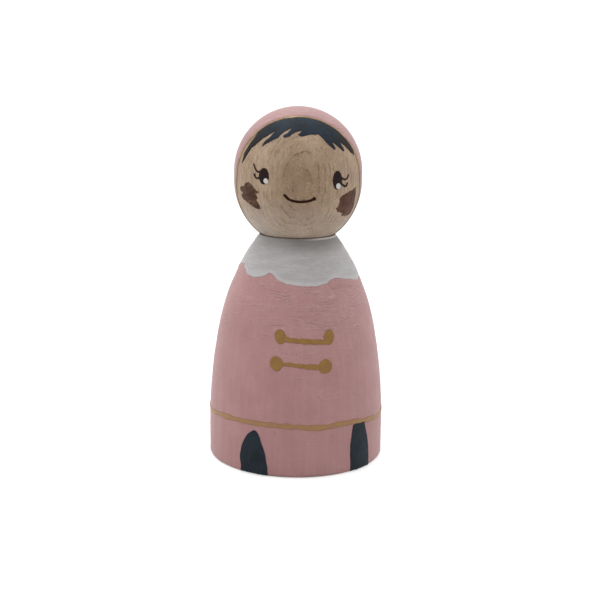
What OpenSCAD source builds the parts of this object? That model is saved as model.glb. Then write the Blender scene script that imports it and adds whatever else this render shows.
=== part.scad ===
// A wooden peg doll in a hooded winter coat: a turned body and a turned head, held
// together by a glued dowel and painted by hand. Millimetres, +Z up, front towards -Y.
// The origin is the middle of the flat base. Left and right are as seen from the front.

/* [Turned body] */
// Diameter of the base
base_d = 45; // [42:0.5:50]
// Height of the upright wall above the base
wall_h = 8.2; // [6:0.2:10]
// Radius of the long curve of the side
side_r = 135; // [120:1:150]
// Height at which the side turns into the rounder shoulder
shoulder_h = 35; // [32:0.5:38]
// Height of the body, up to the neck
body_h = 57.8; // [55:0.2:62]
// Diameter of the body's flat top at the neck
neck_d = 18.9; // [17.6:0.1:20.5]
// Radius of the broken edge round the base
base_edge_r = 0.6; // [0.3:0.1:0.9]

/* [Turned head] */
// Widest diameter of the head
head_d = 32.2; // [30:0.2:34]
// Diameter of the head's flat foot at the neck
foot_d = 18; // [15:0.2:18.6]
// Height from the neck to the widest part of the head
chin_h = 13.8; // [12:0.2:15]
// Height of the straight band round the widest part
band_h = 2.3; // [1:0.1:3]

/* [Neck dowel] */
// Diameter of the dowel
dowel_d = 6; // [4:0.5:8]
// Length of the dowel
dowel_l = 16; // [12:0.5:20]
// Chamfer on both ends of the dowel
dowel_chamfer = 0.8; // [0.4:0.1:1]
// Room for glue round the dowel
glue_gap = 0.05; // [0.03:0.01:0.1]
// Room for glue beyond each end of the dowel
end_gap = 0.3; // [0.1:0.05:0.5]

/* [Painted layers] */
// Gap between a layer of paint or ink and what it lies on
layer_gap = 0.02; // [0.01:0.005:0.03]

/* [Painted coat] */
// Thickness of the coat's paint
coat_film = 0.15; // [0.1:0.01:0.2]
// Height of the coat's lower edge above the base
coat_low = 0.2; // [0.1:0.05:0.5]
// Bare wood left between paint and neck joint
neck_bare = 0.3; // [0.2:0.05:0.6]

/* [Painted collar] */
// Thickness of the collar's paint
collar_film = 0.12; // [0.08:0.01:0.2]
// How far the lowest scallop reaches below the neck
collar_drop = 10.7; // [9:0.1:12]
// Number of scallops round the collar
scallops = 6; // [5:1:8]
// Radius of each scallop's round edge
scallop_r = 12.5; // [11:0.5:14]
// How much the shortest scallop is shorter than the lowest one
scallop_rise = 1.5; // [0.5:0.1:2]
// Turn of the front scallop from the front, in degrees
collar_angle = 3.4; // [-10:0.1:10]

/* [Painted gold] */
// Thickness of the gold paint
gold_film = 0.1; // [0.08:0.01:0.15]
// Height of the middle of the line near the hem
hem_h = 13.2; // [12:0.1:15]
// Width of the line near the hem
hem_w = 1.3; // [0.8:0.1:1.8]
// Width of the thin line along the hood's edge
trim_w = 0.45; // [0.3:0.05:0.8]
// Distance between the dots of a toggle
toggle_l = 12.1; // [10:0.1:14]
// How far the upper toggle lies below the neck
upper_toggle_drop = 22.6; // [19:0.1:24]
// Turn of the upper toggle from the front, in degrees
upper_toggle_angle = 3; // [-6:0.1:6]
// How far the lower toggle lies below the upper one
toggle_pitch = 6.5; // [5:0.1:10]
// Turn of the lower toggle from the front, in degrees
lower_toggle_angle = 0.3; // [-6:0.1:6]
// Width of a toggle's bar
bar_w = 1.2; // [0.8:0.1:1.6]
// Width of a toggle's dots
dot_w = 2.9; // [2:0.1:3.4]
// Height of a toggle's dots
dot_h = 3.6; // [2.4:0.1:4]

/* [Painted boots] */
// Thickness of the boots' paint
boot_film = 0.12; // [0.08:0.01:0.2]
// Width of the left boot
left_boot_w = 8; // [6:0.1:9]
// Gap between the left boot's top and the line near the hem
left_boot_gap = 1; // [0:0.1:3]
// Turn of the left boot from the front, in degrees
left_boot_angle = -30.7; // [-40:0.1:-25]
// Width of the right boot
right_boot_w = 7.3; // [6:0.1:9]
// Gap between the right boot's top and the line near the hem
right_boot_gap = 0; // [0:0.1:3]
// Least strip of coat left bare between a boot and the line near the hem
boot_clear = 0.1; // [0.05:0.05:0.3]
// Turn of the right boot from the front, in degrees
right_boot_angle = 43.4; // [25:0.1:48]

/* [Painted hood and hair] */
// Thickness of the hood's paint
hood_film = 0.15; // [0.1:0.01:0.2]
// Thickness of the hair's paint
hair_film = 0.12; // [0.08:0.01:0.2]
// How far the hood's edge lies in front of the head's middle
hood_set = 4.8; // [4:0.1:5.5]
// How far the hood's edge leans forward, in degrees
hood_lean_angle = 12; // [9:0.5:14]
// Turn of the hood's opening from the front, in degrees
hood_angle = -2.5; // [-6:0.5:6]
// Turn of the fringe of hair from the front, in degrees
fringe_angle = 0; // [-4:0.5:4]

/* [Painted face] */
// Thickness of the pen's ink
ink_film = 0.08; // [0.06:0.01:0.12]
// Thickness of the white dots in the eyes, over the ink
glint_film = 0.06; // [0.04:0.01:0.1]
// Width of each eye
eye_w = 2.8; // [2:0.1:3.4]
// Height of the left eye
left_eye_h = 3.9; // [3:0.1:4.8]
// Height of the left eye's middle above the head's widest part
left_eye_up = 1.05; // [0:0.05:2]
// Turn of the left eye from the front, in degrees
left_eye_angle = -34; // [-38:0.5:-28]
// Height of the right eye
right_eye_h = 4.5; // [3:0.1:4.8]
// Height of the right eye's middle above the head's widest part
right_eye_up = 0.15; // [0:0.05:2]
// Turn of the right eye from the front, in degrees
right_eye_angle = 33.5; // [28:0.5:38]
// Width of a lash
lash_w = 0.4; // [0.3:0.05:0.6]
// Diameter of the left eye's white dot
left_glint_d = 1.35; // [0.8:0.05:1.6]
// Diameter of the right eye's white dot
right_glint_d = 1.45; // [0.8:0.05:1.6]
// Width of the smile
mouth_w = 7.4; // [5:0.1:9]
// Depth of the smile
mouth_h = 1.6; // [1:0.1:2.2]
// Width of the smile's line
mouth_line_w = 0.55; // [0.4:0.05:0.8]
// How far the smile's middle lies below the head's widest part
mouth_down = 4.1; // [3:0.1:5]
// Turn of the smile from the front, in degrees
mouth_angle = -1.5; // [-5:0.5:5]
// Width of each cheek patch
cheek_w = 7.7; // [5:0.1:8]
// Height of the left cheek patch
left_cheek_h = 6.6; // [5:0.1:7]
// How far the left cheek's middle lies below the head's widest part
left_cheek_down = 4.1; // [3.8:0.1:5]
// Turn of the left cheek from the front, in degrees
left_cheek_angle = -52.8; // [-54:0.1:-50]
// Height of the right cheek patch
right_cheek_h = 7.2; // [5:0.1:7.4]
// How far the right cheek's middle lies below the head's widest part
right_cheek_down = 5.7; // [5.2:0.1:6.2]
// Turn of the right cheek from the front, in degrees
right_cheek_angle = 50; // [48:0.1:54]

/* [Hidden] */
$fn = 96;

wood_colour = [0.72, 0.62, 0.52];
pink_colour = [0.79, 0.59, 0.59];
white_colour = [0.84, 0.83, 0.82];
gold_colour = [0.68, 0.52, 0.31];
dark_colour = [0.15, 0.18, 0.20];
ink_colour = [0.13, 0.09, 0.10];
blush_colour = [0.37, 0.28, 0.24];

// The body's side is two arcs: the lower one leaves the wall upright, and the upper one
// carries on from it and ends at the neck.
base_r = base_d / 2;
neck_r = neck_d / 2;
shoulder_lean = asin((shoulder_h - wall_h) / side_r);
outward = [cos(shoulder_lean), sin(shoulder_lean)];
side_middle = [base_r - side_r, wall_h];
shoulder = side_middle + side_r * outward;
to_neck = [neck_r, body_h] - shoulder;
upper_r = (to_neck * to_neck) / (-2 * (to_neck * outward));
upper_middle = shoulder - upper_r * outward;

// The head has an arc below its widest part, a straight band, and a round crown
head_r = head_d / 2;
foot_r = foot_d / 2;
under_r = ((head_r - foot_r) * (head_r - foot_r) + chin_h * chin_h) / (2 * (head_r - foot_r));
widest_h = body_h + chin_h;
crown_h = widest_h + band_h;
head_middle_h = widest_h + band_h / 2;
doll_h = crown_h + head_r;

// Longer than anything that it has to pass through
reach = 1.5 * doll_h;

// How far the coat's outside and the ink's outside lie from the wood
coat_out = layer_gap + coat_film;
ink_out = layer_gap + ink_film;

// Heights between which each coat of paint lies
coat_top = body_h - neck_bare;
collar_top = coat_top - collar_film;
collar_low = body_h - collar_drop;
upper_toggle_h = body_h - upper_toggle_drop;
lower_toggle_h = upper_toggle_h - toggle_pitch;
hood_low = body_h + neck_bare;
hem_low = hem_h - hem_w / 2;

// How much shorter each scallop is, as a share of scallop_rise, from the front one on
scallop_shares = [0, 0, 0.3, 0.6, 0.2, 0.95, 0.4, 0.7];

// Straight pieces between two points of a curve, corners of an oval, and the angles of the
// corners on a stroke's round end
curve_steps = 3;
oval_corners = 24;
cap_angles = [-60, 0, 60];

// Outlines, as shares of half the width and half the height of what they draw. The boots
// run on past the coat's lower edge, where they are cut off level.
left_boot_shares = [[-0.02, 0.99], [-0.44, 0.75], [-0.8, 0.3], [-0.97, -0.11], [-1, -0.4],
                    [-0.92, -0.77], [-0.8, -1.2], [0.85, -1.2], [1, -0.8], [0.96, -0.45],
                    [0.84, -0.07], [0.64, 0.36], [0.45, 0.75], [0.24, 0.98]];
right_boot_shares = [[-0.6, 1.1], [-0.84, 0.73], [-0.96, 0.27], [-1, -0.11], [-0.96, -0.52],
                     [-0.8, -1.2], [0.85, -1.2], [0.98, -0.8], [1, -0.54], [0.84, 0.02],
                     [0.66, 0.44], [0.42, 0.9], [0.3, 1.1]];
left_cheek_shares = [[-0.99, 0.51], [-0.77, 0.67], [-0.46, 0.66], [-0.25, 0.97], [0.1, 1], [0.41, 0.86],
                     [0.63, 0.62], [0.99, 0.35], [0.7, 0.2], [0.84, -0.08], [0.68, -0.28],
                     [0.87, -0.56], [0.86, -0.94], [0.64, -1], [0.23, -0.81], [-0.38, -0.5],
                     [-0.85, -0.22], [-0.84, 0.02], [-0.62, 0.15], [-0.92, 0.28]];
right_cheek_shares = [[0.7, 1], [0.07, 0.82], [-0.44, 0.65], [-0.8, 0.5], [-0.94, 0.33], [-0.82, 0.15],
                      [-0.86, -0.1], [-0.99, -0.34], [-0.74, -0.61], [-0.22, -0.75], [-0.3, -0.9],
                      [0.62, -1], [0.92, -0.83], [1, -0.54], [0.88, 0.09], [0.8, 0.57]];

// The fringe, as shares of the head's radius from the head's middle. Its strands run down
// from the hood's edge to both sides, and its top points lie behind that edge.
fringe_shares = [[-0.89, 0.23], [-0.8, 0.38], [-0.75, 0.46], [-0.66, 0.54], [-0.57, 0.62], [-0.5, 0.66],
                 [-0.39, 0.73], [-0.48, 0.63], [-0.54, 0.59], [-0.57, 0.55], [-0.59, 0.5], [-0.53, 0.54],
                 [-0.43, 0.6], [-0.34, 0.64], [-0.31, 0.68], [-0.23, 0.74], [-0.14, 0.78], [-0.2, 0.71],
                 [-0.28, 0.67], [-0.27, 0.65], [-0.24, 0.64], [-0.17, 0.66], [-0.14, 0.69], [-0.09, 0.72],
                 [0.02, 0.75], [-0.02, 0.71], [-0.06, 0.69], [-0.01, 0.66], [0.14, 0.69], [0.26, 0.69],
                 [0.33, 0.63], [0.42, 0.53], [0.51, 0.46], [0.53, 0.48], [0.48, 0.57], [0.54, 0.53],
                 [0.65, 0.43], [0.67, 0.44], [0.65, 0.49], [0.6, 0.57], [0.68, 0.51], [0.76, 0.43],
                 [0.84, 0.36], [0.81, 0.47], [0.74, 0.58], [0.6, 0.9], [0, 1.1], [-0.45, 0.92],
                 [-0.66, 0.68], [-0.72, 0.59], [-0.8, 0.48], [-0.86, 0.37]];

// Pen strokes, as shares of half the width and half the height of what carries them
left_lashes_shares = [[[-0.6, 0.44], [-1.4, 0.53], [-1.95, 0.92], [-2.3, 1.37]],
                      [[-0.6, -0.08], [-1.35, -0.32], [-1.85, -0.16], [-2.1, 0.14]]];
right_lashes_shares = [[[0.6, 0.36], [1.6, 0.04], [2.3, 0.13], [2.65, 0.46]],
                       [[0.6, -0.18], [1.5, -0.64], [2.15, -0.68], [2.4, -0.4]]];
left_glint_share = [0.45, -0.58];
right_glint_share = [0.15, -0.64];
mouth_shares = [[-1, 1], [-0.68, -0.3], [-0.26, -0.9], [0.16, -1], [0.58, -0.76], [0.97, -0.1]];
mouth_end_share = 1.5;

// Bars of the toggles, as shares of half of toggle_l and half of dot_h, and how their
// width changes from left to right, as shares of bar_w
upper_bar_shares = [[-0.9, -0.1], [-0.75, -0.3], [-0.26, -0.42], [0.32, -0.57], [0.88, -0.7]];
lower_bar_shares = [[-0.9, 0.02], [-0.47, -0.02], [0.01, -0.18], [0.68, -0.4], [0.9, -0.4]];
upper_bar_width_shares = [1, 1.08];
lower_bar_width_shares = [0.7, 1.1];
upper_dot_rise_shares = [0.08, -0.08];
lower_dot_rise_shares = [0.06, -0.36];
upper_dot_width_shares = [0.88, 0.94];
lower_dot_width_shares = [1.1, 1.2];

// A point on the smooth curve from b to c, which a and d steer
function curve_point(a, b, c, d, t) =
    b + (c - a) * t / 2 + (2 * a - 5 * b + 4 * c - d) * t * t / 2 + (3 * b - a - 3 * c + d) * t * t * t / 2;

// A smooth closed outline through its corner points
function closed_curve(points) =
    let (n = len(points))
    [for (i = [0 : n - 1], s = [0 : curve_steps - 1])
        curve_point(points[(i + n - 1) % n], points[i], points[(i + 1) % n], points[(i + 2) % n],
                    s / curve_steps)];

// A smooth path from its first point to its last
function open_curve(points) =
    let (n = len(points) - 1)
    concat([for (i = [0 : n - 1], s = [0 : curve_steps - 1])
        curve_point(points[max(i - 1, 0)], points[i], points[i + 1], points[min(i + 2, n)],
                    s / curve_steps)],
        [points[n]]);

// The shares of an outline in millimetres, on half a width and half a height
function on_size(shares, w, h) = [for (p = shares) [p.x * w / 2, p.y * h / 2]];

// The direction of a path at one of its points
function heading(path, i) =
    let (step = path[min(i + 1, len(path) - 1)] - path[max(i - 1, 0)])
    atan2(step.y, step.x);

// The outline of a stroke along a path, from width w0 to width w1, with round ends
function stroke_outline(path, w0, w1) =
    let (n = len(path) - 1)
    concat([for (i = [0 : n]) path[i] + stroke_side(path, i, w0, w1, -90)],
           [for (a = cap_angles) path[n] + stroke_side(path, n, w0, w1, a)],
           [for (i = [n : -1 : 0]) path[i] + stroke_side(path, i, w0, w1, 90)],
           [for (a = cap_angles) path[0] + stroke_side(path, 0, w0, w1, a + 180)]);

// From a path's point to the stroke's edge, at an angle to the path
function stroke_side(path, i, w0, w1, angle) =
    let (r = (w0 + (w1 - w0) * i / (len(path) - 1)) / 2, to = heading(path, i) + angle)
    r * [cos(to), sin(to)];

// A smooth stroke of the pen or brush
module stroke(points, w0, w1) {
    polygon(stroke_outline(open_curve(points), w0, w1));
}

// An oval of a given width and height round a point
module oval(middle, w, h) {
    polygon([for (i = [0 : oval_corners - 1])
        middle + [cos(i * 360 / oval_corners) * w / 2, sin(i * 360 / oval_corners) * h / 2]]);
}

// The part of a flat shape between two heights, right of the axis
module between(low, high) {
    intersection() {
        children();
        translate([0, low])
            square([reach, high - low]);
    }
}

// Half the outline of the body, with all its sides moved out by grow
module body_outline(grow = 0) {
    join_h = shoulder_h + grow * sin(shoulder_lean);
    translate([0, base_edge_r])
        square([base_r + grow, wall_h - base_edge_r]);
    square([base_r - base_edge_r, wall_h]);
    intersection() {
        translate([base_r - base_edge_r, base_edge_r])
            circle(base_edge_r + grow);
        square([reach, base_edge_r]);
    }
    between(wall_h, join_h)
        translate(side_middle)
            circle(side_r + grow, $fn = 720);
    between(join_h, body_h)
        translate(upper_middle)
            circle(upper_r + grow, $fn = 360);
}

// Half the outline of the head, with all its sides moved out by grow
module head_outline(grow = 0) {
    between(body_h, widest_h)
        translate([head_r - under_r, widest_h])
            circle(under_r + grow, $fn = 180);
    translate([0, widest_h])
        square([head_r + grow, band_h]);
    between(crown_h, doll_h + grow)
        translate([0, crown_h])
            circle(head_r + grow, $fn = 180);
}

// A film of paint on the body, over what lies this far out and between two heights
module body_film(under, thick, low, high) {
    rotate_extrude($fn = 180)
        between(low, high)
            difference() {
                body_outline(under + layer_gap + thick);
                body_outline(under + layer_gap);
            }
}

// A film of paint on the head, over the wood and from a height upwards
module head_film(thick, low = hood_low) {
    rotate_extrude($fn = 180)
        between(low, reach)
            difference() {
                head_outline(layer_gap + thick);
                head_outline(layer_gap);
            }
}

// All of the head, with what lies on it up to this distance from its wood
module head_out_to(out) {
    rotate_extrude($fn = 180)
        between(hood_low, reach)
            head_outline(out);
}

// A flat shape carried straight out from the axis, at an angle from the front and a height
module outwards(angle, height) {
    rotate([0, 0, angle])
        translate([0, 0, height])
            rotate([90, 0, 0])
                linear_extrude(reach)
                    children();
}

// All that lies behind the hood's edge, or in front of it by a negative shift
module behind_edge(shift) {
    rotate([0, 0, hood_angle])
        translate([0, -hood_set, head_middle_h])
            rotate([hood_lean_angle, 0, 0])
                translate([-reach, shift, -reach])
                    cube([2 * reach, reach, 2 * reach]);
}

// The blind hole for half of the dowel, upwards from the neck
module dowel_hole() {
    cylinder(d = dowel_d + 2 * glue_gap, h = dowel_l / 2 + end_gap);
}

// One eye with its lashes, flat
module eye_shape(h, lashes) {
    oval([0, 0], eye_w, h);
    for (lash = lashes)
        stroke(on_size(lash, eye_w, h), lash_w, lash_w);
}

// One toggle, flat: a bar that ends in a dot on each side
module toggle_shape(bar, bar_widths, dot_rises, dot_widths) {
    stroke(on_size(bar, toggle_l, dot_h), bar_w * bar_widths[0], bar_w * bar_widths[1]);
    for (i = [0, 1])
        oval([(2 * i - 1) * toggle_l / 2, dot_rises[i] * dot_h / 2], dot_w * dot_widths[i], dot_h);
}

// A toggle painted on the coat
module toggle_film(angle, height) {
    intersection() {
        body_film(coat_out, gold_film, height - dot_h, height + dot_h);
        outwards(angle, height)
            children();
    }
}

// A boot painted on the coat, from its lower edge up to its own top
module boot_film_on_coat(angle, shares, w, gap) {
    h = hem_low - gap - coat_low;
    intersection() {
        body_film(coat_out, boot_film, coat_low, hem_low - boot_clear);
        outwards(angle, coat_low + h / 2)
            polygon(closed_curve(on_size(shares, w, h)));
    }
}

// An eye painted on the head
module eye_film(angle, up, h, lashes) {
    intersection() {
        head_film(ink_film);
        outwards(angle, head_middle_h + up)
            eye_shape(h, lashes);
    }
}

// The white dot over an eye, which also lies on the wood beside the eye
module glint_film_on_eye(angle, up, h, share, d) {
    difference() {
        intersection() {
            head_film(ink_out + glint_film);
            outwards(angle, head_middle_h + up)
                oval(on_size([share], eye_w, h)[0], d, d);
        }
        intersection() {
            head_out_to(layer_gap + ink_out);
            outwards(angle, head_middle_h + up)
                oval([0, 0], eye_w + 2 * layer_gap, h + 2 * layer_gap);
        }
    }
}

// A cheek patch painted on the head
module cheek_film(angle, down, shares, h) {
    intersection() {
        head_film(ink_film);
        outwards(angle, head_middle_h - down)
            polygon(on_size(shares, cheek_w, h));
    }
}

module body() {
    color(wood_colour)
        difference() {
            rotate_extrude($fn = 180)
                body_outline();
            translate([0, 0, body_h])
                mirror([0, 0, 1])
                    dowel_hole();
        }
}

module head() {
    color(wood_colour)
        difference() {
            rotate_extrude($fn = 180)
                head_outline();
            translate([0, 0, body_h])
                dowel_hole();
        }
}

module neck_dowel() {
    color(wood_colour)
        translate([0, 0, body_h - dowel_l / 2])
            rotate_extrude($fn = 72)
                polygon([[0, 0], [dowel_d / 2 - dowel_chamfer, 0], [dowel_d / 2, dowel_chamfer],
                         [dowel_d / 2, dowel_l - dowel_chamfer], [dowel_d / 2 - dowel_chamfer, dowel_l],
                         [0, dowel_l]]);
}

module coat_paint() {
    color(pink_colour)
        body_film(0, coat_film, coat_low, coat_top);
}

module collar_paint() {
    color(white_colour)
        intersection() {
            body_film(coat_out, collar_film, collar_low, collar_top);
            union() {
                for (i = [0 : scallops - 1])
                    outwards(collar_angle + i * 360 / scallops,
                             collar_low + scallop_r + scallop_rise * scallop_shares[i])
                        circle(scallop_r);
            }
        }
}

module hem_line() {
    color(gold_colour)
        body_film(coat_out, gold_film, hem_low, hem_low + hem_w);
}

module upper_toggle() {
    color(gold_colour)
        toggle_film(upper_toggle_angle, upper_toggle_h)
            toggle_shape(upper_bar_shares, upper_bar_width_shares, upper_dot_rise_shares,
                         upper_dot_width_shares);
}

module lower_toggle() {
    color(gold_colour)
        toggle_film(lower_toggle_angle, lower_toggle_h)
            toggle_shape(lower_bar_shares, lower_bar_width_shares, lower_dot_rise_shares,
                         lower_dot_width_shares);
}

module left_boot() {
    color(dark_colour)
        boot_film_on_coat(left_boot_angle, left_boot_shares, left_boot_w, left_boot_gap);
}

module right_boot() {
    color(dark_colour)
        boot_film_on_coat(right_boot_angle, right_boot_shares, right_boot_w, right_boot_gap);
}

module hood_paint() {
    color(pink_colour)
        intersection() {
            head_film(hood_film);
            behind_edge(0);
        }
}

module hood_trim() {
    color(gold_colour)
        difference() {
            intersection() {
                head_film(gold_film);
                behind_edge(-trim_w);
            }
            behind_edge(0);
        }
}

module hair_paint() {
    color(dark_colour)
        difference() {
            intersection() {
                head_film(hair_film, head_middle_h);
                outwards(fringe_angle, head_middle_h)
                    polygon(on_size(fringe_shares, head_d, head_d));
            }
            behind_edge(-trim_w);
        }
}

module left_eye() {
    color(ink_colour)
        eye_film(left_eye_angle, left_eye_up, left_eye_h, left_lashes_shares);
}

module right_eye() {
    color(ink_colour)
        eye_film(right_eye_angle, right_eye_up, right_eye_h, right_lashes_shares);
}

module left_glint() {
    color(white_colour)
        glint_film_on_eye(left_eye_angle, left_eye_up, left_eye_h, left_glint_share, left_glint_d);
}

module right_glint() {
    color(white_colour)
        glint_film_on_eye(right_eye_angle, right_eye_up, right_eye_h, right_glint_share, right_glint_d);
}

module mouth() {
    color(ink_colour)
        intersection() {
            head_film(ink_film);
            outwards(mouth_angle, head_middle_h - mouth_down)
                union() {
                    stroke(on_size(mouth_shares, mouth_w, mouth_h), mouth_line_w, mouth_line_w);
                    oval(on_size(mouth_shares, mouth_w, mouth_h)[len(mouth_shares) - 1],
                         mouth_line_w * mouth_end_share, mouth_h / 2);
                }
        }
}

module left_cheek() {
    color(blush_colour)
        cheek_film(left_cheek_angle, left_cheek_down, left_cheek_shares, left_cheek_h);
}

module right_cheek() {
    color(blush_colour)
        cheek_film(right_cheek_angle, right_cheek_down, right_cheek_shares, right_cheek_h);
}

body();
head();
neck_dowel();
coat_paint();
collar_paint();
hem_line();
upper_toggle();
lower_toggle();
left_boot();
right_boot();
hood_paint();
hood_trim();
hair_paint();
left_eye();
right_eye();
left_glint();
right_glint();
mouth();
left_cheek();
right_cheek();
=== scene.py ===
"""The looks of a painted wooden peg doll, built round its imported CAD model.

Every coat of paint and ink is a closed film of its own. It takes its outline and its
levels from its CAD solid, and gets the wavering edge, the rounded rim and the brush or
pen relief of hand work. The turned wood is the CAD model's own. Lengths in this script
are millimetres, and the meshes are made in metres.
"""
import math

import bmesh
import bpy
import numpy as np
from mathutils import Matrix, Vector


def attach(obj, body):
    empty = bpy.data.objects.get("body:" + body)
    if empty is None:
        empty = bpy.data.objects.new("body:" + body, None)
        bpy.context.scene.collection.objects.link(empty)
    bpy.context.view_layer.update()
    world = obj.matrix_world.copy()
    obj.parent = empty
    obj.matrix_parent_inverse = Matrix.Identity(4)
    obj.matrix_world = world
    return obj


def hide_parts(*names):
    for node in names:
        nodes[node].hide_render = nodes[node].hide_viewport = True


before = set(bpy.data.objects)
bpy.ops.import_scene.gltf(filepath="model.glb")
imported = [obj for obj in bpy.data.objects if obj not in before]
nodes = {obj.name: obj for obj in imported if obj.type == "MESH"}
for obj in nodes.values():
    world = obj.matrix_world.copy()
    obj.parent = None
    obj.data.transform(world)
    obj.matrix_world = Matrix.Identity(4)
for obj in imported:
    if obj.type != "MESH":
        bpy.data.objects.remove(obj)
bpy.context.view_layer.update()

MM = 0.001

# Camera, from the perspective of the photograph
IMAGE_PX = 600
SENSOR_W = 36.0
FOCAL_PX = 1096.7
CAMERA_DISTANCE = 279.3
CAMERA_HEIGHT = 99.3
CAMERA_ANGLE = -3.0
CAMERA_PITCH = 11.91
CAMERA_ROLL = 0.57
CENTRE_SHIFT_PX = 3.16


# Noise and smooth curves

def waves(points, size, seed, count=28):
    """Seeded smooth noise at points, about -1 to 1, with features of this size in mm."""
    rng = np.random.default_rng(seed)
    k = rng.normal(size=(count, 3))
    k *= (rng.uniform(0.6, 1.5, count) * math.pi / size / np.linalg.norm(k, axis=1))[:, None]
    phase = rng.uniform(0, 2 * math.pi, count)
    return np.sin(points @ k.T + phase).sum(1) / math.sqrt(count)


def smooth_curve(t, y, at):
    """The values at new places of a smooth curve through the points (t, y)."""
    h = np.diff(t)
    d = np.diff(y) / h
    slope = np.empty_like(y)
    slope[1:-1] = (d[:-1] * h[:-1] + d[1:] * h[1:]) / (h[:-1] + h[1:])
    slope[0], slope[-1] = d[0], d[-1]
    i = np.clip(np.searchsorted(t, at) - 1, 0, len(h) - 1)
    u = (at - t[i]) / h[i]
    a = y[i] * (1 + 2 * u) * (1 - u) ** 2 + y[i + 1] * u * u * (3 - 2 * u)
    return a + h[i] * u * (1 - u) * (slope[i] * (1 - u) - slope[i + 1] * u)


# The turned surfaces that carry the paint

def corners_of(name):
    """The vertices of a CAD node, in mm."""
    mesh = nodes[name].data
    co = np.empty(len(mesh.vertices) * 3)
    mesh.vertices.foreach_get("co", co)
    return co.reshape(-1, 3) / MM


class Turned:
    """The side of a turned piece, unrolled: an angle from the front and a length s up the side."""

    STEP = 0.05          # between the points up the side
    SAME_HEIGHT = 2e-3   # vertices nearer in height than this lie on one ring
    PAST_BORE = 1.2      # rings wider than this many dowels belong to the outside
    CROWN_DEGREES = 3    # between the rings of a round crown

    def __init__(self, name, round_crown):
        """Taken from a CAD node's vertices. A round crown ends in a quarter of a circle."""
        co = corners_of(name)
        radius = np.hypot(co[:, 0], co[:, 1])
        bore = corners_of("neck_dowel")[:, :2].max() * self.PAST_BORE
        top = co[:, 2].max()
        crown = top - radius.max() if round_crown else top
        below = co[:, 2] <= crown + self.SAME_HEIGHT / 2
        heights = np.unique(co[(radius > bore) & below, 2].round(3))
        radii = [radius[abs(co[:, 2] - h) < self.SAME_HEIGHT].max() for h in heights]
        if round_crown:
            turn = np.radians(np.arange(self.CROWN_DEGREES, 91, self.CROWN_DEGREES))
            heights = np.append(heights, crown + radius.max() * np.sin(turn))
            radii = np.append(radii, radius.max() * np.cos(turn))
        keep = np.append(True, np.hypot(np.diff(heights), np.diff(radii)) > self.STEP)
        z, r = np.array(heights)[keep], np.array(radii)[keep]
        t = np.append(0, np.cumsum(np.hypot(np.diff(z), np.diff(r))))
        self.s = np.arange(0, t[-1], self.STEP)
        self.z = smooth_curve(t, z, self.s)
        self.r = np.maximum(smooth_curve(t, r, self.s), 0)
        along_z, along_r = np.gradient(self.z), np.gradient(self.r)
        length = np.hypot(along_z, along_r)
        self.out_r, self.out_z = along_z / length, -along_r / length
        self.middle = (crown + self.z[np.argmax(self.r)]) / 2

    def place(self, angle, s, out):
        """Points in space, at this distance out from the wood."""
        r = np.interp(s, self.s, self.r) + out * np.interp(s, self.s, self.out_r)
        z = np.interp(s, self.s, self.z) + out * np.interp(s, self.s, self.out_z)
        return np.stack([r * np.sin(angle), -r * np.cos(angle), z], -1)

    def unroll(self, points):
        """The angle, the length s and the distance out of points in space."""
        r, z = np.hypot(points[:, 0], points[:, 1]), points[:, 2]
        near = np.array([np.argmin((self.r - a) ** 2 + (self.z - b) ** 2) for a, b in zip(r, z)])
        out = (r - self.r[near]) * self.out_r[near] + (z - self.z[near]) * self.out_z[near]
        along = (z - self.z[near]) * self.out_r[near] - (r - self.r[near]) * self.out_z[near]
        return np.arctan2(points[:, 0], -points[:, 1]), self.s[near] + along, out

    def patch(self, low, high, step):
        """A grid of triangles between two corners (angle, s)."""
        r = np.interp((low[1] + high[1]) / 2, self.s, self.r)
        columns = max(4, round((high[0] - low[0]) * r / step))
        rows = max(4, round((high[1] - low[1]) / step))
        return self.grid(np.linspace(low[0], high[0], columns + 1),
                         np.linspace(low[1], high[1], rows + 1), False)

    def ring(self, low, high, step):
        """A grid of triangles all round, between two lengths s."""
        r = np.interp((low + high) / 2, self.s, self.r)
        columns = 2 * round(math.pi * r / step)
        rows = max(4, round((high - low) / step))
        return self.grid(np.arange(columns) * 2 * math.pi / columns - math.pi,
                         np.linspace(low, high, rows + 1), True)

    @staticmethod
    def grid(angles, lengths, closed):
        """Triangles between rows and columns, closed or not from the last angle to the first."""
        n, m = len(angles), len(lengths)
        a, s = np.meshgrid(angles, lengths, indexing="ij")
        i, j = np.meshgrid(np.arange(n if closed else n - 1), np.arange(m - 1), indexing="ij")
        right = (i + 1) % n
        p, q = i * m + j, right * m + j
        even = ((i + j) % 2 == 0)[..., None]
        first = np.where(even, np.stack([p, q, q + 1], -1), np.stack([p, q, p + 1], -1))
        second = np.where(even, np.stack([p, q + 1, p + 1], -1), np.stack([q, q + 1, p + 1], -1))
        return a.ravel(), s.ravel(), np.concatenate([first.reshape(-1, 3), second.reshape(-1, 3)])

    def cap(self, fineness):
        """Even triangles over the whole of a round piece, with no pole in them."""
        ball = bmesh.new()
        bmesh.ops.create_icosphere(ball, subdivisions=fineness, radius=1)
        co = np.array([v.co for v in ball.verts])
        faces = np.array([[v.index for v in f.verts] for f in ball.faces])
        ball.free()
        rise = np.arctan2(self.z - self.middle, self.r)
        s = np.interp(np.arcsin(np.clip(co[:, 2], -1, 1)), rise, self.s)
        return np.arctan2(co[:, 0], -co[:, 1]), s, faces


wood_body = Turned("body", False)
wood_head = Turned("head", True)
COLLAR_TOP = wood_body.z[-1]


# Outlines, taken from the CAD solids

OUTER_SHARE = 0.7    # above this share of a solid's thickness lies its outer face
POLE_RADIUS = 0.5    # an outer face nearer to the axis than this covers the pole
PAIRS_AT_ONCE = 2_000_000


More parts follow.
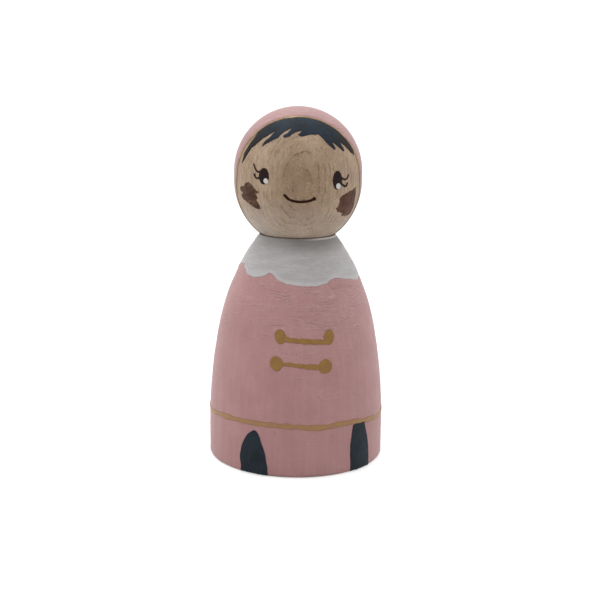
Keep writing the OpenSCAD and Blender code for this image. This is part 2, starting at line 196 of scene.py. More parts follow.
def node_outline(name, turned):
    """The edges round the outer face of a film's CAD solid, and its lowest and highest level."""
    mesh = nodes[name].data
    mesh.calc_loop_triangles()
    tri = np.empty(len(mesh.loop_triangles) * 3, int)
    mesh.loop_triangles.foreach_get("vertices", tri)
    co, index = np.unique(corners_of(name).round(5), axis=0, return_inverse=True)
    tri = index.ravel()[tri].reshape(-1, 3)
    tri = tri[(tri[:, 0] != tri[:, 1]) & (tri[:, 1] != tri[:, 2]) & (tri[:, 0] != tri[:, 2])]
    angle, s, out = turned.unroll(co)
    under, top = out.min(), out.max()
    outer = (out[tri] > under + OUTER_SHARE * (top - under)).all(1)
    edges = np.sort(tri[outer][:, [0, 1, 1, 2, 2, 0]].reshape(-1, 2), axis=1)
    edges, uses = np.unique(edges, axis=0, return_counts=True)
    edges = edges[uses == 1]
    over_pole = np.hypot(co[:, 0], co[:, 1])[np.unique(tri[outer])].min() < POLE_RADIUS
    return angle[edges], s[edges], under, top, over_pole


def wrapped(angle):
    """The same angle, between half a turn back and half a turn on."""
    return (angle + math.pi) % (2 * math.pi) - math.pi


def depth_inside(angle, s, edge_angle, edge_s, over_pole, turned):
    """How deep points lie inside an outline, in mm, and below zero outside it."""
    start = turned.place(edge_angle[:, 0], edge_s[:, 0], 0)
    along = turned.place(edge_angle[:, 1], edge_s[:, 1], 0) - start
    long2 = np.maximum((along ** 2).sum(1), 1e-9)
    points = turned.place(angle, s, 0)
    depth = np.empty(len(points))
    parts = max(1, len(points) * len(along) // PAIRS_AT_ONCE)
    for part in np.array_split(np.arange(len(points)), parts):
        to = points[part, None] - start
        share = np.clip((to * along).sum(-1) / long2, 0, 1)
        distance = np.sqrt(((to - share[..., None] * along) ** 2).sum(-1).min(1))
        a0 = wrapped(edge_angle[:, 0] - angle[part, None])
        a1 = a0 + wrapped(edge_angle[:, 1] - edge_angle[:, 0])
        crosses = (a0 <= 0) != (a1 <= 0)
        turn = np.where(crosses, a1 - a0, 1)
        height = edge_s[:, 0] - a0 / turn * (edge_s[:, 1] - edge_s[:, 0])
        above = (crosses & (height > s[part, None])).sum(1)
        depth[part] = np.where(above % 2 == (0 if over_pole else 1), distance, -distance)
    return depth


# Films

MARGIN = 1.2         # a film's grid reaches this far past its outline
ALL_ROUND = 6.0      # an outline that spans more than this angle goes all round
TOP_EDGE = 0.2       # edges this near to the highest are a film's upper rim
NEAREST_CUT = 0.04   # a cut keeps this share of an edge away from its ends
SINK = 0.05          # a film's underside lies this deep in what it covers
EDGE_HEIGHT = 0.25   # the share of its thickness that a film has at its very edge
BULGE_IN = 1.6       # how far inside the outline a film bulges, in widths of its rim
FINE_WAVER = 0.4     # the share of the waver that comes again at a third of its size


def clip(angle, s, depth, tri):
    """The part of a triangle grid whose depth is above zero, with its edge cut along zero."""
    inside = depth > 0
    count = inside[tri].sum(1)
    whole = tri[count == 3]
    cut = tri[(count == 1) | (count == 2)]
    alone = np.where((inside[cut].sum(1) == 1)[:, None], inside[cut], ~inside[cut]).argmax(1)
    rows = np.arange(len(cut))
    a, b, c = cut[rows, alone], cut[rows, (alone + 1) % 3], cut[rows, (alone + 2) % 3]
    pairs = np.sort(np.stack([np.stack([a, b], -1), np.stack([a, c], -1)]), axis=-1)
    sides, place = np.unique(pairs.reshape(-1, 2), axis=0, return_inverse=True)
    place = place.ravel() + len(angle)
    ab, ac = place[:len(cut)], place[len(cut):]
    d0, d1 = depth[sides[:, 0]], depth[sides[:, 1]]
    t = np.clip(d0 / (d0 - d1), NEAREST_CUT, 1 - NEAREST_CUT)
    new_angle = angle[sides[:, 0]] + t * wrapped(angle[sides[:, 1]] - angle[sides[:, 0]])
    new_s = s[sides[:, 0]] + t * (s[sides[:, 1]] - s[sides[:, 0]])
    tip = inside[a]
    made = np.concatenate([whole, np.stack([a, ab, ac], -1)[tip], np.stack([ab, b, c], -1)[~tip],
                           np.stack([ab, c, ac], -1)[~tip]])
    angle, s = np.concatenate([angle, new_angle]), np.concatenate([s, new_s])
    depth = np.concatenate([depth, np.zeros(len(sides))])
    used, tri = np.unique(made, return_inverse=True)
    return angle[used], s[used], depth[used], tri.reshape(-1, 3)


def film(name, turned, step, replaces, material, waver, waver_size, rim, seed,
         bulge=0.0, relief=0.0, relief_size=1.0, strokes=(1, 1, 1), grow=0.0, raise_by=0.0,
         rises=None, to_top=False, fineness=None):
    """A closed film of paint or ink with the outline and levels of one CAD node.

    Its edge wavers and is rounded over the width rim. Its bulge inside that, and the relief of
    its strokes, are shares of its thickness. It can grow outwards, and be raised. The rises, by
    degrees, move its outline up. With to_top it ends at the wood's end, and a fineness gives it
    an even grid with no pole.
    """
    edge_angle, edge_s, under, top, over_pole = node_outline(replaces, turned)
    if to_top:
        below = edge_s.min(1) < edge_s.max() - TOP_EDGE
        edge_angle, edge_s, over_pole = edge_angle[below], edge_s[below], True
    low, high = edge_s.min() - MARGIN, edge_s.max() + MARGIN
    low, high = max(low, 0), turned.s[-1] if to_top else min(high, turned.s[-1])
    swing = MARGIN / np.interp((low + high) / 2, turned.s, turned.r)
    if fineness:
        angle, s, tri = turned.cap(fineness)
    elif edge_angle.max() - edge_angle.min() > ALL_ROUND:
        angle, s, tri = turned.ring(low, high, step)
    else:
        angle, s, tri = turned.patch((edge_angle.min() - swing, low),
                                     (edge_angle.max() + swing, high), step)
    rise = np.interp(np.degrees(wrapped(angle)), list(rises), list(rises.values())) if rises else 0
    moved = s - rise
    depth = depth_inside(angle, moved, edge_angle, edge_s, over_pole, turned)
    points = turned.place(angle, s, 0)
    depth += grow + waver * waves(points, waver_size, seed)
    depth += FINE_WAVER * waver * waves(points, waver_size / 3, seed + 1)
    angle, s, depth, tri = clip(angle, s, depth, tri)
    thick = top - under + raise_by
    lip = np.clip(depth / rim, 0, 1)
    height = EDGE_HEIGHT + (1 - EDGE_HEIGHT) * np.sqrt(1 - (1 - lip) ** 2)
    height += bulge * np.exp(-((depth - BULGE_IN * rim) / rim) ** 2)
    if relief:
        at = turned.place(angle, s, 0) / strokes
        strokes_up = waves(at, relief_size, seed + 2) + 0.5 * waves(at, relief_size / 2, seed + 3)
        height += relief * lip * strokes_up
    upper = turned.place(angle, s, under + thick * height)
    lower = turned.place(angle, s, under - SINK)
    n = len(upper)
    directed = tri[:, [0, 1, 1, 2, 2, 0]].reshape(-1, 2)
    key = np.sort(directed, axis=1)
    _, back, uses = np.unique(key, axis=0, return_inverse=True, return_counts=True)
    rim_edges = directed[uses[back.ravel()] == 1]
    b, a = rim_edges[:, 0], rim_edges[:, 1]
    walls = np.concatenate([np.stack([a, b, b + n], -1), np.stack([a, b + n, a + n], -1)])
    faces = np.concatenate([tri, tri[:, ::-1] + n, walls])
    mesh = bpy.data.meshes.new(name)
    mesh.from_pydata((np.concatenate([upper, lower]) * MM).tolist(), [], faces.tolist())
    mesh.polygons.foreach_set("use_smooth", np.ones(len(faces), bool))
    inner = mesh.attributes.new("depth", "FLOAT", "POINT")
    inner.data.foreach_set("value", np.tile(depth, 2).astype(np.float32))
    mesh.materials.append(material)
    piece = bpy.data.objects.new(name, mesh)
    bpy.context.scene.collection.objects.link(piece)
    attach(piece, "root")
    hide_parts(replaces)


# Materials

def linear(*srgb):
    """An sRGB colour of 0 to 255 as the shader's linear colour."""
    c = np.array(srgb) / 255
    return (*np.where(c <= 0.04045, c / 12.92, ((c + 0.055) / 1.055) ** 2.4), 1.0)


class Finish:
    """One procedural material, put together node by node. Its coordinates are millimetres."""

    def __init__(self, name, roughness, specular, sheen=0.0):
        self.material = bpy.data.materials.new(name)
        self.material.use_nodes = True
        self.tree = self.material.node_tree
        self.shader = self.tree.nodes["Principled BSDF"]
        self.shader.inputs["Roughness"].default_value = roughness
        self.shader.inputs["Specular IOR Level"].default_value = specular
        self.shader.inputs["Sheen Weight"].default_value = sheen
        place = self.add("ShaderNodeTexCoord").outputs["Object"]
        self.place = self.scaled(place, (1 / MM, 1 / MM, 1 / MM))

    def add(self, kind, inputs=None, **settings):
        made = self.tree.nodes.new(kind)
        for key, value in settings.items():
            setattr(made, key, value)
        for key, value in (inputs or {}).items():
            self.feed(value, made.inputs[key])
        return made

    def feed(self, value, socket):
        if isinstance(value, bpy.types.NodeSocket):
            self.tree.links.new(value, socket)
        else:
            socket.default_value = value

    def scaled(self, vector, scale):
        return self.add("ShaderNodeMapping", {"Vector": vector, "Scale": scale}).outputs["Vector"]

    def along(self, axis):
        """The coordinate along X, Y or Z."""
        return self.add("ShaderNodeSeparateXYZ", {"Vector": self.place}).outputs[axis]

    def noise(self, size, detail, roughness, stretch=(1, 1, 1), vector=None, distortion=0.0):
        """Noise from 0 to 1, its features of this size in mm and drawn out by stretch."""
        at = self.scaled(vector or self.place, tuple(1 / (size * k) for k in stretch))
        made = self.add("ShaderNodeTexNoise", {"Vector": at, "Scale": 1.0, "Detail": detail,
                                               "Roughness": roughness, "Distortion": distortion})
        return made.outputs["Fac"]

    def cells(self, size, stretch=(1, 1, 1)):
        """Distance to the nearest of scattered spots, in cells of this size in mm."""
        at = self.scaled(self.place, tuple(1 / (size * k) for k in stretch))
        return self.add("ShaderNodeTexVoronoi", {"Vector": at, "Scale": 1.0}).outputs["Distance"]

    def math(self, operation, a, b=0.0, c=0.0):
        made = self.add("ShaderNodeMath", operation=operation)
        for value, socket in zip((a, b, c), made.inputs):
            self.feed(value, socket)
        return made.outputs["Value"]

    def times(self, first, *others):
        """The product of values."""
        for value in others:
            first = self.math("MULTIPLY", first, value)
        return first

    def span(self, value, low, high, to_low=0.0, to_high=1.0):
        """Value eased from the range low to high into another range, and held at its ends."""
        made = self.add("ShaderNodeMapRange", {"Value": value, "From Min": low, "From Max": high,
                                               "To Min": to_low, "To Max": to_high})
        made.interpolation_type = "SMOOTHSTEP"
        return made.outputs["Result"]

    def band(self, value, low, peak, high):
        """From 0 at low to 1 at the peak and back to 0 at high."""
        return self.times(self.span(value, low, peak), self.span(value, peak, high, 1.0, 0.0))

    def mix(self, share, a, b):
        made = self.add("ShaderNodeMix", data_type="RGBA")
        for value, socket in ((share, made.inputs[0]), (a, made.inputs[6]), (b, made.inputs[7])):
            self.feed(value, socket)
        return made.outputs[2]

    def tinted(self, colour, *layers):
        """Colour under layers of (where it lies, its share, its colour), the last on top."""
        for where, share, other in layers:
            colour = self.mix(self.times(where, share), colour, other)
        return colour

    def relief(self, *parts):
        """The sum of heights, each of (height, its share)."""
        total = self.times(*parts[0])
        for height, share in parts[1:]:
            total = self.math("MULTIPLY_ADD", height, share, total)
        return total

    def edge(self, low, high):
        """1 at the outline of the material's film, and 0 from high on; depths in mm."""
        depth = self.add("ShaderNodeAttribute", attribute_name="depth").outputs["Fac"]
        return self.span(depth, low, high, 1.0, 0.0)

    def rings(self, pith, spacing, first, waver):
        """Growth rings round an upright pith: the distance from it, and 0 to 1 across each ring, of
        which one ends at first."""
        wide = self.noise(7, 2, 0.5, (1, 1, 2))
        bend = self.math("MULTIPLY_ADD", wide, waver * 4, -waver * 2 - first)
        x = self.math("SUBTRACT", self.along("X"), pith[0])
        y = self.math("SUBTRACT", self.along("Y"), pith[1])
        away = self.math("SQRT", self.math("ADD", self.times(x, x), self.times(y, y)))
        bent = self.math("ADD", away, bend)
        bent = self.math("MULTIPLY_ADD", self.noise(1.3, 3, 0.6, (1, 1, 2.5)), waver * 0.7, bent)
        return away, self.math("FRACT", self.math("DIVIDE", bent, spacing))

    def done(self, colour, roughness, height, depth):
        """The finished material, with its relief of height as deep as depth in mm."""
        bump = self.add("ShaderNodeBump",
                        {"Height": height, "Distance": depth * MM, "Strength": 1.0})
        self.feed(colour, self.shader.inputs["Base Color"])
        self.feed(roughness, self.shader.inputs["Roughness"])
        self.feed(bump.outputs["Normal"], self.shader.inputs["Normal"])
        return self.material


def beech(name, pith, spacing, first, reflected_light=0.0):
    """Bare, fine-sanded beech: broken growth rings, ray flecks and fine pores. Low on the head,
    just above the collar, the wood is paled towards the collar's white by the share
    reflected_light, and most on the left: painted reflected light."""
    f = Finish(name, 0.6, 0.3)
    away, ring = f.rings(pith, spacing, first, 0.6)
    late = f.band(ring, 0.4, 0.93, 1.0)
    hair_line = f.band(ring, 0.82, 0.93, 1.0)
    aside = f.math("ABSOLUTE", f.along("X"))
    fade = f.times(f.span(f.noise(4.4, 3, 0.6), 0.45, 0.61), f.span(aside, 5, 12, 1.0, 0.55))
    broken = f.times(fade, f.span(f.noise(0.7, 3, 0.65, (1, 1, 2)), 0.36, 0.54))
    fleck = f.times(f.span(f.cells(0.5, (1, 1, 3.2)), 0.1, 0.24, 1.0, 0.0),
                    f.span(f.noise(2.2, 2, 0.5), 0.46, 0.62))
    dashes = f.times(f.span(f.noise(0.26, 3, 0.6, (2.2, 1, 1), distortion=0.6), 0.5, 0.63),
                     f.span(f.noise(4.2, 2, 0.5), 0.42, 0.6))
    pores = f.span(f.noise(0.14, 3, 0.7, (1, 1, 7)), 0.4, 0.7)
    streak = f.span(f.noise(0.5, 3, 0.65, (1, 1, 7)), 0.38, 0.68)
    cloud = f.noise(5, 3, 0.6, (1, 1, 1.6))
    heart = f.times(f.span(away, 11.6, 17.2, 1.0, 0.0), f.span(f.along("Z"), 73, 80, 1.0, 0.6))
    # Painted reflected light: paler wood just above the collar, most on the left.
    white = f.times(f.span(f.along("Z"), COLLAR_TOP + 2, COLLAR_TOP + 12, 1.0, 0.0),
                    f.span(f.along("X"), -12, -2, 1.0, 0.5),
                    f.span(f.noise(2.5, 3, 0.6), 0.3, 0.6, 0.6, 1.0))
    colour = f.tinted(
        f.mix(f.span(cloud, 0.32, 0.68), linear(189, 163, 138), linear(214, 188, 163)),
        (heart, 0.72, linear(152, 123, 97)),
        (streak, 0.5, linear(150, 121, 95)),
        (f.times(late, fade), 0.36, linear(138, 108, 82)),
        (f.times(hair_line, broken), 0.95, linear(94, 68, 48)),
        (pores, 0.25, linear(134, 106, 82)),
        (fleck, 0.6, linear(104, 78, 58)),
        (dashes, 0.7, linear(214, 186, 148)),
        (white, reflected_light, linear(206, 202, 197)))
    height = f.relief((pores, -0.5), (late, -0.6), (fleck, -0.7), (dashes, 0.7))
    return f.done(colour, f.span(cloud, 0.2, 0.8, 0.5, 0.64), height, 0.08)


def pink_paint(name, pith, strokes, low, high, most, deep, pale):
    """Thin matt acrylic over beech. The grain stands up through it, and brush strokes and fine
    level crests cross it, by a share that rises to most from the height low to high."""
    f = Finish(name, 0.56, 0.5, 0.12)
    grain = f.rings(pith, 1.3, 0.4, 0.5)[1]
    swing = 14.0
    above = f.math("MULTIPLY_ADD", f.noise(6, 2, 0.5), swing, f.along("Z"))
    aside = f.math("ABSOLUTE", f.math("SUBTRACT", f.along("X"), 3.0))
    rough = f.times(f.span(above, low + swing / 2, high + swing / 2, 0.2, most),
                    f.span(aside, 8, 15, 1.0, 0.35))
    ridge = f.times(f.band(grain, 0.6, 0.92, 1.0), f.span(f.noise(4, 2, 0.5), 0.4, 0.62), rough)
    brush = f.noise(0.36, 3, 0.62, strokes)
    stroke = f.times(f.span(brush, 0.5, 0.72), rough)
    level = f.math("MULTIPLY_ADD", f.noise(3.0, 2, 0.5, (2.6, 2.6, 1)), 4.0,
                   f.times(f.along("Z"), 1.15))
    crest = f.times(f.band(f.math("FRACT", level), 0.28, 0.5, 0.66),
                    f.span(f.noise(2.2, 2, 0.5, (2.4, 2.4, 1)), 0.42, 0.58), rough)
    lumps = f.times(f.span(f.noise(0.7, 2, 0.5, (2.2, 2.2, 1)), 0.5, 0.72), rough)
    fine = f.noise(0.13, 3, 0.7, (1, 1, 9))
    bands = f.noise(1.4, 2, 0.5, (1, 1, 14))
    grooves = f.span(f.noise(0.34, 2, 0.6, (1, 1, 16)), 0.58, 0.72)
    cloud = f.noise(8, 3, 0.55)
    chips = f.times(f.span(f.cells(2.4, (1, 1, 1.4)), 0.05, 0.085, 1.0, 0.0),
                    f.span(f.noise(5, 1, 0.5), 0.42, 0.54))
    grit = f.times(f.span(f.cells(1.9), 0.055, 0.09, 1.0, 0.0),
                   f.span(f.noise(7, 1, 0.5), 0.45, 0.57))
    colour = f.tinted(
        f.mix(f.span(cloud, 0.3, 0.7), deep, pale),
        (rough, 0.16, linear(206, 160, 157)),
        (stroke, 0.3, linear(210, 168, 164)),
        (crest, 0.62, linear(216, 176, 171)),
        (ridge, 0.4, linear(204, 162, 158)),
        (f.span(bands, 0.4, 0.65), 0.13, linear(204, 160, 158)),
        (f.span(fine, 0.45, 0.75), 0.14, linear(158, 110, 110)),
        (grooves, 0.14, linear(154, 108, 107)),
        (chips, 0.7, linear(132, 98, 84)),
        (grit, 0.6, linear(228, 196, 192)))
    height = f.relief((stroke, 0.35), (ridge, 0.5), (crest, 0.95), (lumps, 0.3),
                      (grooves, -0.2), (grit, 0.5), (fine, 0.2))
    return f.done(colour, f.span(brush, 0.3, 0.7, 0.48, 0.6), height, 0.16)


def white_paint(name):
    """Matt white acrylic in level brush strokes, thickest along its rim. Painted shade darkens it
    round its top, under the head, and a painted highlight makes it pale on the step beside the
    head's foot."""
    f = Finish(name, 0.55, 0.4)
    brush = f.noise(0.32, 3, 0.6, (5, 5, 1))
    broad = f.noise(1.3, 2, 0.5, (5, 5, 1))
    thin = f.span(f.times(broad, brush), 0.16, 0.34, 1.0, 0.0)
    # Painted shade: darker round the top of the collar, under the head, and most on the right.
    neck_shade = f.times(f.span(f.along("Z"), COLLAR_TOP - 4.5, COLLAR_TOP - 0.5),
                   f.span(f.along("X"), -7, 1, 0.5, 1.0))
    # Painted highlight: a pale line on the step beside the head's foot, on the right.
    ledge_highlight = f.times(f.span(f.along("Z"), COLLAR_TOP - 0.3, COLLAR_TOP - 0.2),
                    f.span(f.along("X"), -1, 6))
    colour = f.tinted(
        linear(194, 191, 191),
        (thin, 0.5, linear(170, 165, 164)),
        (f.edge(0.15, 1.1), 0.6, linear(210, 206, 206)),
        (neck_shade, 0.72, linear(122, 119, 117)),
        (ledge_highlight, 0.8, linear(226, 222, 218)))
    return f.done(colour, f.span(brush, 0.3, 0.7, 0.42, 0.58),
                  f.relief((brush, 0.9), (broad, 1.2)), 0.16)


def gold_paint(name, thick_colour, thin_colour, dark_edge, worn=0.0):
    """Satin gold acrylic, thin in places, with a fine glitter of pigment. The share worn of it is
    worn away low on the head."""
    f = Finish(name, 0.5, 0.25)
    f.shader.inputs["Metallic"].default_value = 0.1
    thin = f.span(f.noise(1.1, 3, 0.6, (1.6, 1.6, 1)), 0.38, 0.68)
    grains = f.span(f.cells(0.16), 0.25, 0.5, 1.0, 0.0)
    colour = f.tinted(
        f.mix(thin, thick_colour, thin_colour),
        (f.edge(0.02, 0.22), dark_edge, linear(126, 90, 54)),
        (grains, 0.25, linear(190, 152, 92)),
        (f.span(f.along("Z"), 70, 79, 1.0, 0.0), worn, linear(160, 145, 126)))
    return f.done(colour, f.span(thin, 0, 1, 0.36, 0.5),
                  f.relief((f.noise(0.45, 3, 0.6), 1.0), (grains, 0.2)), 0.04)


def dark_paint(name, strokes, deep, pale, brown_aside=0.0):
    """Matt blue-black acrylic with faint brush strokes and a thinner edge. Away from the middle
    it turns brown by the share brown_aside."""
    f = Finish(name, 0.6, 0.15)
    brush = f.noise(0.35, 3, 0.6, strokes)
    colour = f.tinted(
        f.mix(f.span(f.noise(3.5, 2, 0.5), 0.3, 0.7), deep, pale),
        (f.span(brush, 0.5, 0.75), 0.3, linear(64, 78, 90)),
        (f.edge(0.0, 0.16), 0.5, linear(92, 84, 84)),
        (f.span(f.math("ABSOLUTE", f.along("X")), 5, 13), brown_aside, linear(30, 16, 8)))
    return f.done(colour, f.span(brush, 0.3, 0.7, 0.42, 0.6), brush, 0.05)


def pen_ink(name, thick_colour, thin_colour):
    """Dark brown paint pen: nearly black, and browner where the line runs thin."""
    f = Finish(name, 0.5, 0.05)
    thin = f.span(f.noise(0.6, 2, 0.6), 0.4, 0.75)
    colour = f.tinted(
        thick_colour,
        (thin, 0.5, thin_colour),
        (f.edge(0.0, 0.14), 0.5, linear(84, 56, 42)))
    return f.done(colour, f.span(thin, 0, 1, 0.32, 0.46), f.noise(0.3, 2, 0.6), 0.02)


def cheek_ink(name, strokes, lean, thick_colour, thin_colour):
    """Brown pen, scribbled thinly to and fro, so that wood shows between the strokes."""
    f = Finish(name, 0.6, 0.08)
    leaning = f.add("ShaderNodeMapping",
                    {"Vector": f.place, "Rotation": (0, math.radians(lean), 0)})
    lines = f.noise(0.34, 2, 0.6, strokes, leaning.outputs["Vector"])
    colour = f.tinted(
        f.mix(f.span(f.noise(1.8, 2, 0.5), 0.3, 0.7), thick_colour, thin_colour),
        (f.edge(0.0, 0.25), 0.35, linear(124, 96, 80)),
        (f.span(lines, 0.56, 0.72), 0.6, linear(150, 122, 98)))
    return f.done(colour, f.span(lines, 0.3, 0.7, 0.42, 0.6), lines, 0.03)


def dot_white(name):
    """The small white dots: thick, glossy paint."""
    gloss = 0.3
    f = Finish(name, gloss, 0.5)
    colour = f.tinted(
        linear(224, 221, 216),
        (f.span(f.noise(0.4, 2, 0.5), 0.35, 0.7), 0.3, linear(206, 203, 200)),
        (f.edge(0.0, 0.15), 0.4, linear(172, 166, 164)))
    return f.done(colour, gloss, f.noise(0.35, 2, 0.5), 0.02)


BODY_PITH = (4.5, -41.0)
HEAD_PITH = (-0.2, -28.1)
head_wood = beech("beech_head", HEAD_PITH, 1.1, 12.35, 0.5)
body_wood = beech("beech_body", BODY_PITH, 1.6, 0.4)
coat_pink = pink_paint("pink_coat", BODY_PITH, (5, 5, 1), 26, 44, 1.0,
                       linear(178, 129, 128), linear(186, 137, 136))
hood_pink = pink_paint("pink_hood", HEAD_PITH, (5, 1.6, 5), 60, 75, 0.4,
                       linear(176, 133, 132), linear(185, 142, 141))
collar_white = white_paint("white_collar")
toggle_gold = gold_paint("gold_toggles", linear(153, 114, 60), linear(143, 106, 62), 0.45)
line_gold = gold_paint("gold_lines", linear(166, 127, 84), linear(161, 120, 93), 0.45)
trim_gold = gold_paint("gold_trim", linear(190, 162, 118), linear(180, 150, 116), 0.1, 0.9)
boot_dark = dark_paint("dark_boots", (1, 1, 5), linear(21, 29, 37), linear(29, 40, 49))
hair_dark = dark_paint("dark_hair", (4, 4, 1.6), linear(27, 36, 45), linear(36, 48, 60), 0.85)
eye_ink = pen_ink("ink_eyes", linear(45, 33, 34), linear(63, 47, 46))
smile_ink = pen_ink("ink_smile", linear(41, 18, 7), linear(62, 36, 20))
left_blush = cheek_ink("blush_left", (6, 6, 1), 40, linear(69, 48, 36), linear(98, 70, 55))
right_blush = cheek_ink("blush_right", (6, 6, 1), -40, linear(78, 51, 40), linear(104, 70, 57))
dot = dot_white("dot_white")

for node_name, finish, slot in (("body", body_wood, "beech"), ("head", head_wood, "beech"),
                                ("neck_dowel", body_wood, "beech")):
    wood = nodes[node_name]
    wood.data.materials.clear()
    wood.data.materials.append(finish)


# The films. The line near the hem and the collar's scallops were drawn by hand and aren't level:
# their rise in mm, at degrees from the front.
HEM_RISES = {-180: -0.3, -110: -0.6, -75: -0.75, -58: 0.0, -48: 0.15, -22: 0.3, -12: 0.2, 0: 0.05,
             7: -0.3, 17: -0.2, 28: -0.05, 38: -0.05, 50: -0.75, 64: -1.3, 110: -0.9, 180: -0.3}
COLLAR_RISES = {-180: 0.0, -110: 0.3, -82: 0.5, -76: 1.2, -72: 1.9, -68: 1.4, -62: 1.0, -56: 0.2,
                -52: 0.2, -48: -0.2, -35: -0.8, -28: 0.0, -22: -0.2, -12: -0.1, -5: 0.3,
                21: -0.5, 25: -1.0, 27: -0.7, 33: -1.1, 35: -0.7, 51: 0.4, 62: 0.3, 71: -0.4,
                110: 0.1, 180: 0.0}


film("coat", wood_body, 0.5, "coat_paint", coat_pink, 0.07, 3.0, 0.3, relief=0.14,
     relief_size=1.8, seed=11, strokes=(4, 4, 1))
film("collar", wood_body, 0.2, "collar_paint", collar_white, 0.12, 2.2, 0.3,
     bulge=0.35, relief=0.16, relief_size=1.1, seed=21, rises=COLLAR_RISES, to_top=True,
     strokes=(4, 4, 1))
film("hem", wood_body, 0.2, "hem_line", line_gold, 0.11, 1.6, 0.2, seed=31,
     rises=HEM_RISES)
film("toggle_upper", wood_body, 0.12, "upper_toggle", toggle_gold, 0.07, 1.0, 0.25,
     bulge=0.2, relief=0.12, seed=41)
film("toggle_lower", wood_body, 0.12, "lower_toggle", toggle_gold, 0.07, 1.0, 0.25,
     bulge=0.2, relief=0.12, seed=51)
film("boot_left", wood_body, 0.16, "left_boot", boot_dark, 0.05, 1.6, 0.25, seed=61)
film("boot_right", wood_body, 0.16, "right_boot", boot_dark, 0.05, 1.6, 0.25, seed=71)
film("hood", wood_head, 0.5, "hood_paint", hood_pink, 0.05, 2.5, 0.3, seed=81,
     fineness=6)
film("trim", wood_head, 0.14, "hood_trim", trim_gold, 0.09, 1.8, 0.15, seed=91,
     raise_by=0.1)
film("hair", wood_head, 0.13, "hair_paint", hair_dark, 0.04, 1.0, 0.2, seed=101)
film("eye_left", wood_head, 0.07, "left_eye", eye_ink, 0.03, 0.7, 0.12, seed=111,
     grow=0.04)
film("eye_right", wood_head, 0.07, "right_eye", eye_ink, 0.03, 0.7, 0.12, seed=121,
     grow=0.04)
film("glint_left", wood_head, 0.07, "left_glint", dot, 0.03, 0.6, 0.2, seed=131,
     bulge=0.3)
film("glint_right", wood_head, 0.07, "right_glint", dot, 0.03, 0.6, 0.2, seed=141,
     bulge=0.3)
film("smile", wood_head, 0.08, "mouth", smile_ink, 0.03, 0.8, 0.12, seed=151,
     grow=0.04)
film("cheek_left", wood_head, 0.12, "left_cheek", left_blush, 0.1, 0.6, 0.15,
     seed=161)
film("cheek_right", wood_head, 0.12, "right_cheek", right_blush, 0.1, 0.6, 0.15,
     seed=171)


# Camera

camera = bpy.data.objects.new("camera", bpy.data.cameras.new("camera"))
bpy.context.scene.collection.objects.link(camera)
camera.data.sensor_width = SENSOR_W
camera.data.lens = FOCAL_PX / IMAGE_PX * SENSOR_W
camera.data.shift_x = CENTRE_SHIFT_PX / IMAGE_PX
camera.data.clip_start = 0.01
turn = math.radians(CAMERA_ANGLE)
stand = Matrix.Translation(MM * Vector((CAMERA_DISTANCE * math.sin(turn),
                                        -CAMERA_DISTANCE * math.cos(turn), CAMERA_HEIGHT)))
camera.matrix_world = (stand @ Matrix.Rotation(turn, 4, "Z")
                       @ Matrix.Rotation(math.radians(90 - CAMERA_PITCH), 4, "X")
                       @ Matrix.Rotation(math.radians(CAMERA_ROLL), 4, "Z"))
bpy.context.scene.camera = camera


# Floor and light

FLOOR_R = 3000.0
FLOOR_Z = -0.02
FLOOR_SIDES = 64
FLOOR_GREY = 0.66
FLOOR_GLOW = 0.55
ring_of_floor = [(FLOOR_R * MM * math.cos(a), FLOOR_R * MM * math.sin(a), FLOOR_Z * MM)
                 for a in np.linspace(0, 2 * math.pi, FLOOR_SIDES, endpoint=False)]
floor_mesh = bpy.data.meshes.new("floor")
floor_mesh.from_pydata(ring_of_floor, [], [list(range(FLOOR_SIDES))])
floor = bpy.data.objects.new("floor", floor_mesh)
bpy.context.scene.collection.objects.link(floor)


def seen_directly(tree, path):
    """1 for what the camera sees, also in a shine or through glass, and 0 for plain light."""
    value = path.outputs["Is Camera Ray"]
    for ray in ("Is Glossy Ray", "Is Transmission Ray"):
        most = tree.nodes.new("ShaderNodeMath")
        most.operation = "MAXIMUM"
        tree.links.new(value, most.inputs[0])
        tree.links.new(path.outputs[ray], most.inputs[1])
        value = most.outputs[0]
    return value


def floor_finish():
    """A pale floor that the camera sees as white, with the object's shadow kept."""
    material = bpy.data.materials.new("floor")
    material.use_nodes = True
    tree = material.node_tree
    tree.nodes.clear()
    out = tree.nodes.new("ShaderNodeOutputMaterial")
    path = tree.nodes.new("ShaderNodeLightPath")
    matt = tree.nodes.new("ShaderNodeBsdfDiffuse")
    matt.inputs["Color"].default_value = (FLOOR_GREY, FLOOR_GREY, FLOOR_GREY, 1)
    glow = tree.nodes.new("ShaderNodeEmission")
    both = tree.nodes.new("ShaderNodeAddShader")
    seen = tree.nodes.new("ShaderNodeMath")
    seen.operation = "MULTIPLY"
    seen.inputs[1].default_value = FLOOR_GLOW
    tree.links.new(seen_directly(tree, path), seen.inputs[0])
    tree.links.new(seen.outputs[0], glow.inputs["Strength"])
    tree.links.new(matt.outputs[0], both.inputs[0])
    tree.links.new(glow.outputs[0], both.inputs[1])
    tree.links.new(both.outputs[0], out.inputs["Surface"])
    return material


floor_mesh.materials.append(floor_finish())

# Light of the studio from each side: less from the camera's side than from all others
SKY_FRONT = 0.22
SKY_BACK = 1.1
SKY_TOP_GAIN = 0.4
SKY_SIDE_LOSS = 0.12
SKY_RIGHT_LOSS = 0.12


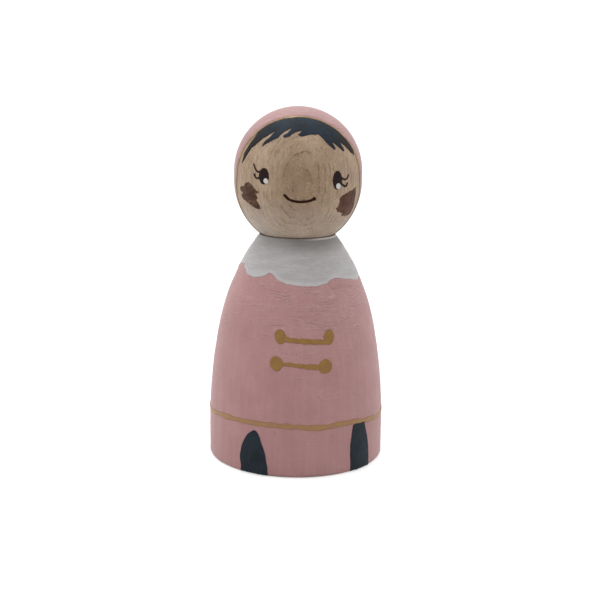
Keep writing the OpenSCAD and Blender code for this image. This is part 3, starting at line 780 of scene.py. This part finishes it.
def studio():
    """Soft light from all round. What the camera sees, also in a shine, is plain white."""
    world = bpy.data.worlds.new("studio")
    bpy.context.scene.world = world
    world.use_nodes = True
    tree = world.node_tree
    sky = tree.nodes["Background"]
    sky.inputs["Color"].default_value = (1, 1, 1, 1)

    def add(kind, operation=None, *values):
        made = tree.nodes.new(kind)
        if operation:
            made.operation = operation
        for value, socket in zip(values, made.inputs):
            if isinstance(value, bpy.types.NodeSocket):
                tree.links.new(value, socket)
            else:
                socket.default_value = value
        return made

    place = add("ShaderNodeTexCoord").outputs["Generated"]
    side = add("ShaderNodeSeparateXYZ", None, place).outputs
    front = add("ShaderNodeMapRange", None, side["Y"], -1.0, 0.2, SKY_FRONT, SKY_BACK).outputs[0]
    top = add("ShaderNodeMath", "MAXIMUM", side["Z"], 0.0).outputs[0]
    right = add("ShaderNodeMath", "MAXIMUM", side["X"], 0.0).outputs[0]
    aside = add("ShaderNodeMath", "ABSOLUTE", side["X"]).outputs[0]
    light = add("ShaderNodeMath", "MULTIPLY_ADD", aside, -SKY_SIDE_LOSS, front).outputs[0]
    light = add("ShaderNodeMath", "MULTIPLY_ADD", right, -SKY_RIGHT_LOSS, light).outputs[0]
    light = add("ShaderNodeMath", "MULTIPLY_ADD", top, SKY_TOP_GAIN, light).outputs[0]
    seen = seen_directly(tree, add("ShaderNodeLightPath"))
    tree.links.new(add("ShaderNodeMath", "MAXIMUM", light, seen).outputs[0], sky.inputs["Strength"])


studio()


def lamp(name, place, aim, size, power):
    """A soft square lamp, in millimetres and watts, that points at aim."""
    data = bpy.data.lights.new(name, "AREA")
    data.size = size * MM
    data.energy = power
    made = bpy.data.objects.new(name, data)
    bpy.context.scene.collection.objects.link(made)
    made.location = Vector(place) * MM
    made.rotation_mode = "QUATERNION"
    made.rotation_quaternion = (Vector(aim) - Vector(place)).to_track_quat("-Z", "Y")


lamp("top_lamp", (-60, 60, 520), (0, 0, 60), 400, 0.5)

bpy.context.scene.view_settings.view_transform = "Standard"
